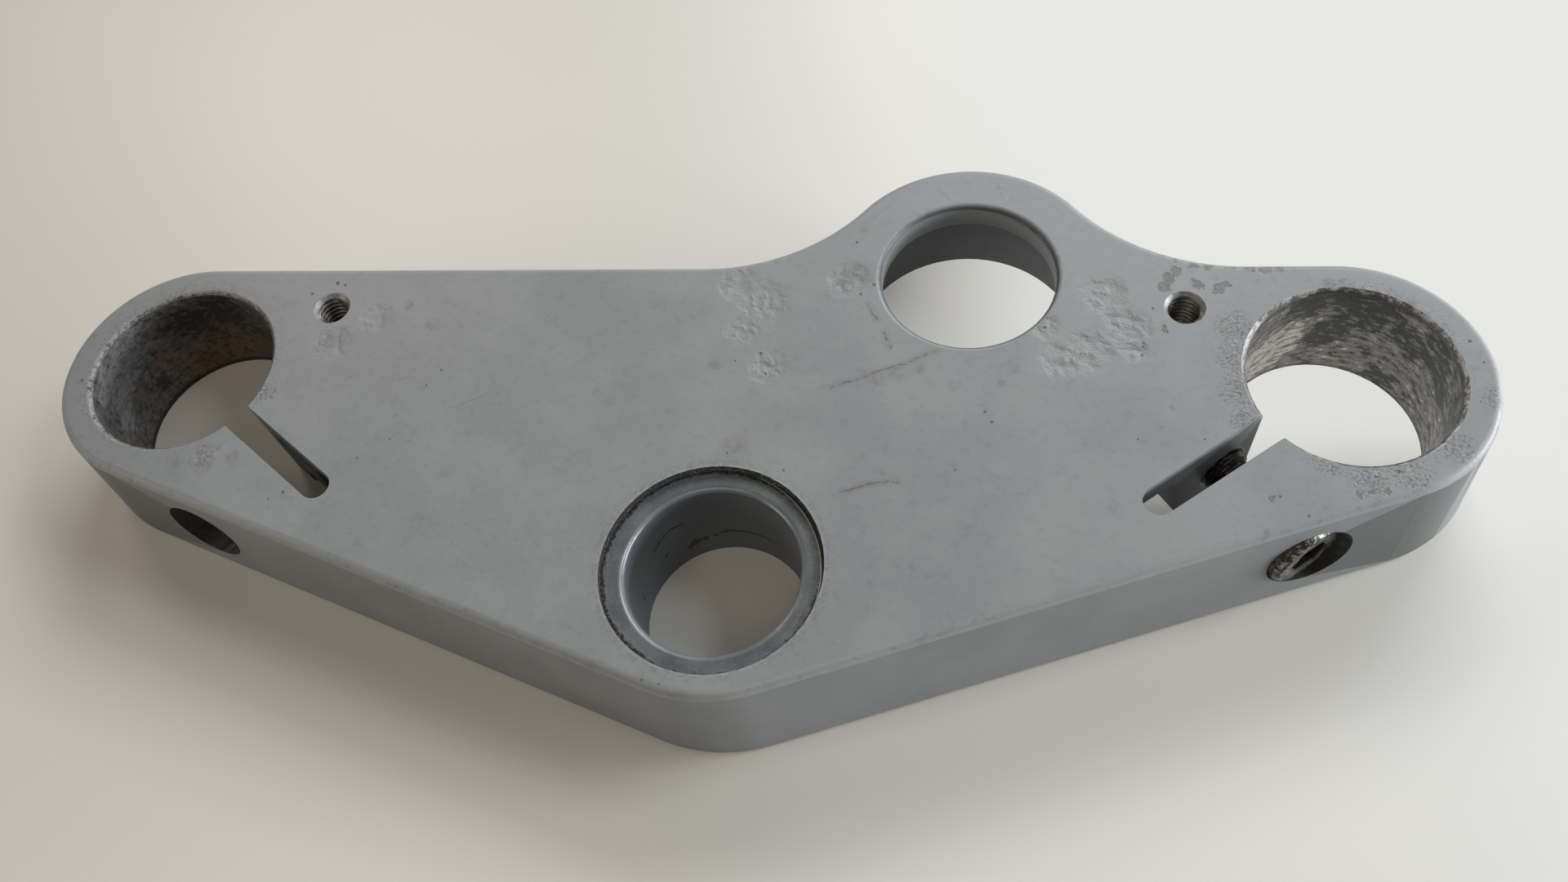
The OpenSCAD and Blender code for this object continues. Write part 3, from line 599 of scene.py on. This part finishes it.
def cap_screw(name):
    """The socket-head cap screw in the right clamp. Its radius runs along the axis from the chamfered tip
    over a rolled thread, the seat, a head with a straight knurl round its side and a chamfer, across the
    ring of its face, and down a six-sided socket to a drilled point."""
    columns, teeth = 384, 64
    turn = np.linspace(0, 2 * np.pi, columns, endpoint=False)
    core, crest, pitch = 3.35, 0.62, 1.25
    tip, head_r, head_top, hex_r = HEAD_SEAT - 25.0, 6.5, HEAD_SEAT + 8.0, 3.0
    rows, heights, kinds = [], [], []

    def row(height, radius, kind):
        heights.append(np.full(columns, height))
        rows.append(np.broadcast_to(radius, columns))
        kinds.append(kind)

    row(tip, 0.0, 0)
    for h in np.linspace(tip, HEAD_SEAT - 0.6, 150):
        limit = core - 1.0 + (h - tip)
        row(h, np.minimum(core + crest * ridge(turn, h, pitch), limit), 0)
    row(HEAD_SEAT - 0.4, 3.95, 0)
    row(HEAD_SEAT, 4.1, 0)
    knurl = 0.16 * np.abs(np.mod(turn * teeth / (2 * np.pi), 1.0) * 2 - 1)
    row(HEAD_SEAT, head_r - 0.4, 0)
    row(HEAD_SEAT + 0.3, head_r - 0.16, 0)
    row(HEAD_SEAT + 0.5, head_r - knurl, 0)
    row(head_top - 1.1, head_r - knurl, 0)
    row(head_top - 0.8, head_r - 0.16, 1)
    row(head_top - 0.25, head_r - 0.6, 1)
    row(head_top, head_r - 1.0, 1)
    hexagon = hex_r / np.cos(np.mod(turn, np.pi / 3) - np.pi / 6)
    row(head_top, hexagon + 0.25, 1)
    row(head_top - 0.25, hexagon, 2)
    row(head_top - 4.0, hexagon, 2)
    row(head_top - 4.0, 2.6, 2)
    row(head_top - 5.2, 0.0, 2)
    u, v, w = clamp_axes(1)
    radius, height = np.array(rows), np.array(heights)
    grid = (bolt_middle(1) + radius[..., None] * (np.cos(turn)[None, :, None] * u
                                                  + np.sin(turn)[None, :, None] * v) + height[..., None] * w)
    # Black-oxidised alloy steel: dark and oily in the knurl and the thread, with the face rubbed down to
    # bright steel, and near black in the socket
    finishes = [metal("blackened_knurled_steel", "#2e2c2a", "#5d5b58", 0.7, 0.35, 0.8),
                metal("rubbed_bright_steel_screw_face", "#3f3d3a", "#a19f9a", 0.85, 0.25, 0.8, 0.48, 0.62),
                metal("near_black_steel_in_socket", "#161514", "#3a3836", 0.5, 0.5, 0.7)]
    piece = shell(name, grid, materials=finishes, row_material=np.array(kinds[1:]))
    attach(piece, "root")
    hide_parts("right_pinch_bolt")
    return piece


def cutter(middle, axes, start, end, radius):
    """A plain cylinder that bores a hole in the casting's copy, and is removed afterwards."""
    turn = np.linspace(0, 2 * np.pi, HOLE_SIDES, endpoint=False)
    u, v, w = axes
    ring = radius * (np.cos(turn)[:, None] * u + np.sin(turn)[:, None] * v)
    rows = [np.repeat((middle + start * w)[None], HOLE_SIDES, 0), middle + ring + start * w,
            middle + ring + end * w, np.repeat((middle + end * w)[None], HOLE_SIDES, 0)]
    return shell("cutter", np.array(rows))


UPRIGHT = (np.array((1.0, 0.0, 0.0)), np.array((0.0, 1.0, 0.0)), np.array((0.0, 0.0, 1.0)))


def keep_planes_flat(mesh, middle, facing, area):
    """Gives each corner on a large plane the plane's own normal. A plane is large where the faces that
    share its direction and its distance from the origin add up to more than 60 square mm."""
    reach = (middle * facing).sum(1)
    direction_steps, reach_steps, large_area = 400, 25, 60
    same_direction, same_reach = math.cos(math.radians(0.8)), 0.05
    keys = np.round(np.column_stack([facing * direction_steps, reach * reach_steps])).astype(int)
    _, first, member = np.unique(keys, axis=0, return_index=True, return_inverse=True)
    large = first[np.bincount(member.ravel(), area) > large_area]
    same = (facing @ facing[large].T > same_direction) & (
        np.abs(reach[:, None] - reach[large][None]) < same_reach)
    flat = same.any(1)
    corners = np.empty(len(mesh.loops) * 3)
    mesh.corner_normals.foreach_get("vector", corners)
    corners = corners.reshape(-1, 3)
    sizes = np.empty(len(mesh.polygons), int)
    mesh.polygons.foreach_get("loop_total", sizes)
    corners = np.where(np.repeat(flat, sizes)[:, None], np.repeat(facing, sizes, axis=0), corners)
    mesh.normals_split_custom_set(corners.tolist())


def dressed_casting():
    """The casting: a copy of its CAD solid with the loose triangles merged, smooth walls shaded smooth,
    the threaded holes bored out for their threads, and a finish for each of its surfaces."""
    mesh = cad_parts["yoke"].data.copy()
    mesh.name = "casting"
    mesh.materials.clear()
    piece = bpy.data.objects.new("casting", mesh)
    bpy.context.scene.collection.objects.link(piece)
    work = bmesh.new()
    work.from_mesh(mesh)
    bmesh.ops.remove_doubles(work, verts=work.verts, dist=0.004 * MM)
    bmesh.ops.dissolve_degenerate(work, edges=work.edges, dist=0.002 * MM)
    work.to_mesh(mesh)
    work.free()
    cutters = [cutter(np.array((*GAUGE_THREADS[side], 0.0)), UPRIGHT, GAUGE_FOOT - 1, TOP + 1, GAUGE_BORED_R)
               for side in FORKS]
    cutters += [cutter(bolt_middle(side), clamp_axes(side), -LUG_DEPTH - 0.4, -SLOT_SIDE + 0.4, PINCH_BORED_R)
                for side in FORKS]
    for tool in cutters:
        cut = piece.modifiers.new("bore", "BOOLEAN")
        cut.object, cut.operation, cut.solver = tool, "DIFFERENCE", "EXACT"
    bpy.context.view_layer.update()
    piece.data = bpy.data.meshes.new_from_object(piece.evaluated_get(bpy.context.evaluated_depsgraph_get()))
    piece.modifiers.clear()
    for tool in cutters:
        bpy.data.objects.remove(tool)
    mesh = piece.data
    mesh.materials.clear()
    # The last is old oil and dirt, and painted shade in the deep counterbores: near black, dull and patchy
    for finish in (painted_casting("weathered_satin_paint_on_cast_aluminium", True),
                   painted_casting("dusty_paint_on_sand_cast_aluminium", False),
                   oxidised_bore(), rubbed_bore(), stem_seat_paint(),
                   metal("oily_grime_and_painted_shade_in_bolt_holes", "#0d0d0d", "#2a2928", 0.1, 0.45, 1.6)):
        mesh.materials.append(finish)

    count = len(mesh.polygons)
    middle, facing, area = np.empty(count * 3), np.empty(count * 3), np.empty(count)
    mesh.polygons.foreach_get("center", middle)
    mesh.polygons.foreach_get("normal", facing)
    mesh.polygons.foreach_get("area", area)
    middle, facing = middle.reshape(-1, 3) / MM, facing.reshape(-1, 3)
    x, y, z = middle.T
    up = facing[:, 2]
    # The margins in mm take in the facets' sag and the rounded mouths
    paint, inner, left_bore, right_bore, seat, grime_and_shade = range(6)
    kind = np.full(count, paint)
    kind[(z < WEB_Z + 0.3) & (z > 0.5) & (up < 0.5) & ~outline_side(x, y)] = inner
    for index, side in ((left_bore, -1), (right_bore, 1)):
        away = np.hypot(x - FORKS[side][0], y - FORKS[side][1])
        kind[(away < FORK_R + 0.75) & (up < 0.95)] = index
    kind[(np.hypot(x, y) < SEAT_R + 0.05) & (z > 0.01)] = seat
    inward = (x - LOCK[0]) * facing[:, 0] + (y - LOCK[1]) * facing[:, 1] < 0
    kind[(np.hypot(x - LOCK[0], y - LOCK[1]) < LOCK_R + 7.8) & inward & (np.abs(up) < 0.3)] = inner
    for side in FORKS:
        along, upright, head = clamp_axes(side)
        local = middle - bolt_middle(side)
        away = np.hypot(local @ along, local @ upright)
        depth = local @ head
        # The counterbores get the near-black finish: old oil and dirt, and painted shade
        kind[(away < HEAD_HOLE_R + 0.05) & (depth > SLOT_SIDE + 0.05) & (z > 1) & (z < TOP - 1)] = grime_and_shade
    mesh.polygons.foreach_set("material_index", kind)
    mesh.shade_smooth()
    mesh.set_sharp_from_angle(angle=math.radians(30))
    weigh = piece.modifiers.new("flat faces stay flat", "WEIGHTED_NORMAL")
    weigh.keep_sharp, weigh.weight, weigh.mode = True, 80, "FACE_AREA_WITH_ANGLE"
    bpy.context.view_layer.update()
    piece.data = bpy.data.meshes.new_from_object(piece.evaluated_get(bpy.context.evaluated_depsgraph_get()))
    piece.modifiers.clear()
    keep_planes_flat(piece.data, middle, facing, area / MM ** 2)
    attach(piece, "root")
    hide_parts("yoke")
    return piece


def outline_side(x, y):
    """True for points on the drafted outer wall: they lie close to the outermost points in their own
    direction from the middle of the casting."""
    middle_y, sectors, band_width = 25.0, 180, 4.6
    turn = np.arctan2(y - middle_y, x)
    reach = np.hypot(x, y - middle_y)
    bins = np.floor((turn + np.pi) / (2 * np.pi) * sectors).astype(int) % sectors
    outermost = np.zeros(sectors)
    np.maximum.at(outermost, bins, reach)
    near = np.maximum(np.roll(outermost, 1), np.maximum(outermost, np.roll(outermost, -1)))
    return reach > near[bins] - band_width


def stage_and_light():
    """A glossy, very pale tabletop, soft light from windows on the far side, the right and the left and
    from the ceiling, and the camera. On the right the table glows with painted light to the camera and in
    mirrored and refracted light, which makes the holes there bright and takes out the casting's shadow,
    and lights nothing else by it."""
    material, tree, shader = new_material("glossy_offwhite_tabletop", ior=1.45, roughness=0.3,
                                          specular_ior_level=0.3)
    place = place_in_mm(tree)
    across, deep = add(tree, (place,), "SeparateXYZ", out=slice(2))
    # Painted shade: the table is painted darker and warmer toward the left, where the light falls off
    tint = add(tree, {0: add(tree, (across, -260.0, 120.0), "MapRange"), 6: linear("#ded8cc"),
                      7: linear("#f1f2ef")}, **BLEND)
    feed(tree, shader, base_color=tint)
    # Painted light: toward the right the table glows to camera, mirrored and refracted rays, which brightens
    # the holes there and takes out the casting's shadow
    rays = add(tree, (), "LightPath", out=None)
    seen = add(tree, (rays["Is Camera Ray"], rays["Is Glossy Ray"]), **LARGER)
    seen = add(tree, (seen, rays["Is Transmission Ray"]), **LARGER)
    white = add(tree, (add(tree, (across, 0.0, 62.0), **STEP), add(tree, (deep, 12.0, 42.0), **STEP)),
                **TIMES)
    white = add(tree, (white, 0.9), **TIMES)
    glow = add(tree, {"Color": linear("#e7e7e3"), "Strength": 1.0}, "Emission")
    mixed = add(tree, (add(tree, (seen, white), **TIMES), shader.outputs[0], glow), "MixShader")
    tree.links.new(mixed, tree.nodes["Material Output"].inputs["Surface"])
    mesh = bpy.data.meshes.new("table")
    half = 1.6
    # A hair below the casting's underside, so that the two faces don't share a plane
    low = -0.02 * MM
    mesh.from_pydata([(-half, -half, low), (half, -half, low), (half, half, low), (-half, half, low)], [],
                     [(0, 1, 2, 3)])
    mesh.materials.append(material)
    table = bpy.data.objects.new("table", mesh)
    bpy.context.scene.collection.objects.link(table)

    world = bpy.data.worlds.new("room")
    bpy.context.scene.world = world
    world.use_nodes = True
    room = world.node_tree.nodes["Background"]
    room.inputs["Color"].default_value = linear("#eceef0")
    room.inputs["Strength"].default_value = 0.07
    # Each lamp's place and size in metres, its power in watts, and its colour
    for name, spot, size, power, colour in (
            ("far_window", (0.36, 1.2, 0.95), (1.1, 0.5), 12.2, "#fbfcff"),
            ("right_window", (0.95, 0.35, 1.0), (0.45, 0.45), 4.4, "#fbfdff"),
            ("low_window", (0.85, 0.06, 0.1), (0.6, 0.18), 7.4, "#fafcff"),
            ("left_window", (-0.6, 0.85, 0.8), (0.35, 0.35), 1.6, "#fff3e2"),
            ("left_fill", (-0.9, -0.35, 0.3), (0.5, 0.4), 1.6, "#fff6ea"),
            ("ceiling", (-0.1, -0.35, 0.9), (0.6, 0.6), 1.3, "#ffeed8")):
        data = bpy.data.lights.new(name, "AREA")
        data.shape, data.size, data.size_y = "RECTANGLE", *size
        data.energy, data.color = power, linear(colour)[:3]
        lamp = bpy.data.objects.new(name, data)
        lamp.location = spot
        lamp.rotation_euler = (Vector((0, 0.03, 0)) - Vector(spot)).to_track_quat("-Z", "Y").to_euler()
        bpy.context.scene.collection.objects.link(lamp)

    # The view of the photograph: the camera's axes in the part's frame, and its place in metres
    data = bpy.data.cameras.new("camera")
    data.sensor_width, data.lens, data.clip_start = 36.0, 29.751, 0.01
    camera = bpy.data.objects.new("camera", data)
    right = Vector((0.991449, 0.076889, -0.105436))
    down = Vector((0.012769, -0.861260, -0.508005))
    onward = Vector((-0.129868, 0.502314, -0.854877))
    turn = Matrix((right, -down, -onward)).transposed().to_4x4()
    camera.matrix_world = Matrix.Translation((0.037109, -0.083196, 0.201998)) @ turn
    bpy.context.scene.collection.objects.link(camera)
    bpy.context.scene.camera = camera
    bpy.context.scene.view_settings.view_transform = "Standard"


stage_and_light()
dressed_casting()
cap_screw("socket_head_cap_screw")
# Cut aluminium: dark with old oil in the threads, and clean and bright in the countersinks
threaded = [metal("dark_oiled_cut_thread", "#5f5d5a", "#8f8c87", 0.45, 0.25, 1.4),
            metal("bare_aluminium_countersink", "#8d9091", "#a9abab", 0.5, 0.35, 0.8)]
for side, word in ((-1, "left"), (1, "right")):
    middle = np.array((*GAUGE_THREADS[side], 0.0))
    threaded_hole(word + "_gauge_thread", middle, UPRIGHT, GAUGE_FOOT, TOP - 0.01,
                  core=2.55, pitch=1.0, mouth=3.4, outer=3.52, materials=threaded)
    threaded_hole(word + "_pinch_thread", bolt_middle(side), clamp_axes(side), -LUG_DEPTH, -SLOT_SIDE - 0.01,
                  core=3.4, pitch=1.25, mouth=4.4, outer=4.72, materials=threaded)
